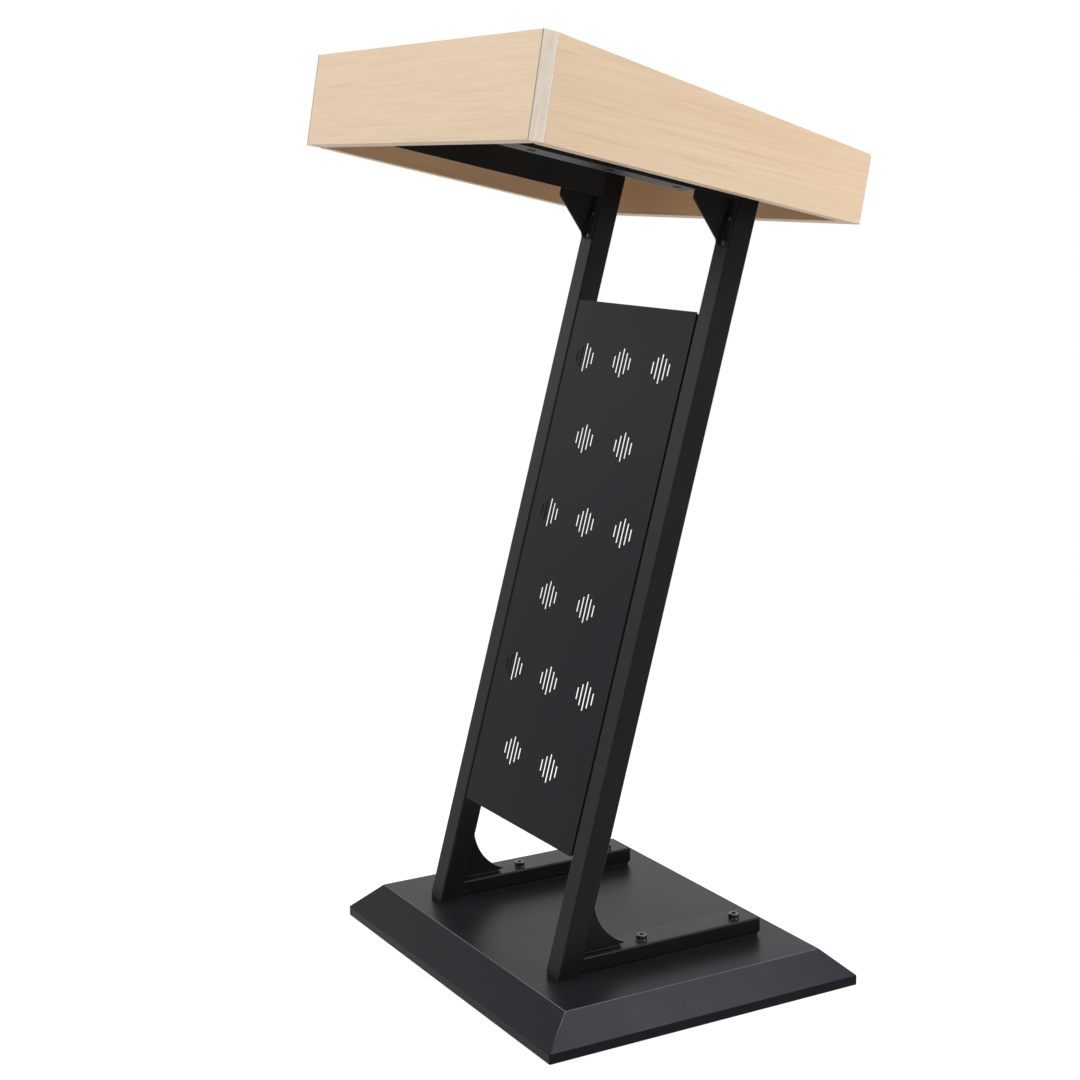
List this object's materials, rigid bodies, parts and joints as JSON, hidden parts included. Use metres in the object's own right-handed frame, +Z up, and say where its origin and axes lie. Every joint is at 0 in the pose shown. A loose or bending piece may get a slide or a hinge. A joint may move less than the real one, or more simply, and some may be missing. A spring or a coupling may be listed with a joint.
{
  "type": "lectern",
  "caption": "Free-standing lectern: a tilted wooden reading tray on leaning square-tube uprights, a slotted panel between them, on a bevelled weighted base.",
  "frame": {"origin": "on the floor, under the middle of the whole lectern", "axes": "+Z up, +Y from the audience toward the speaker, +X across, to the speaker's left"},
  "size_m": [0.568, 0.4884, 1.1636],
  "materials": {
    "base_black": "fine textured satin black powder coat",
    "frame_black": "satin black powder coat",
    "panel_black": "satin black powder coat",
    "plug_black": "matte moulded",
    "pad_rubber": "matte",
    "bolt_black": "blackened steel",
    "band_cream": "pale edge band on board",
    "board_wood": "light maple-like facing, satin",
    "dowel_wood": "raw beech-like",
    "steel_zinc": "zinc plated"
  },
  "bodies": {
    "root": {"arm_left": "frame_black", "arm_right": "frame_black", "base_ballast": "base_black", "base_bottom": "base_black", "base_cover": "base_black", "base_pads": "pad_rubber", "base_screws": "steel_zinc", "base_spacers": "steel_zinc", "bracket_left": "frame_black", "bracket_right": "frame_black", "bracket_screws": "bolt_black", "cam_bolts": "steel_zinc", "cam_locks": "steel_zinc", "desk_back": "board_wood", "desk_board": "board_wood", "desk_front": "board_wood", "desk_left": "board_wood", "desk_right": "board_wood", "desk_screws": "bolt_black", "dowels": "dowel_wood", "foot_bolts": "bolt_black", "foot_left": "frame_black", "foot_nuts": "steel_zinc", "foot_plug_left": "plug_black", "foot_plug_right": "plug_black", "foot_right": "frame_black", "foot_soles": "pad_rubber", "front_bands": "band_cream", "gusset_left": "frame_black", "gusset_right": "frame_black", "panel": "panel_black", "panel_nuts": "steel_zinc", "panel_rails": "frame_black", "panel_studs": "steel_zinc", "upright_left": "frame_black", "upright_right": "frame_black"}
  },
  "joints": []
}
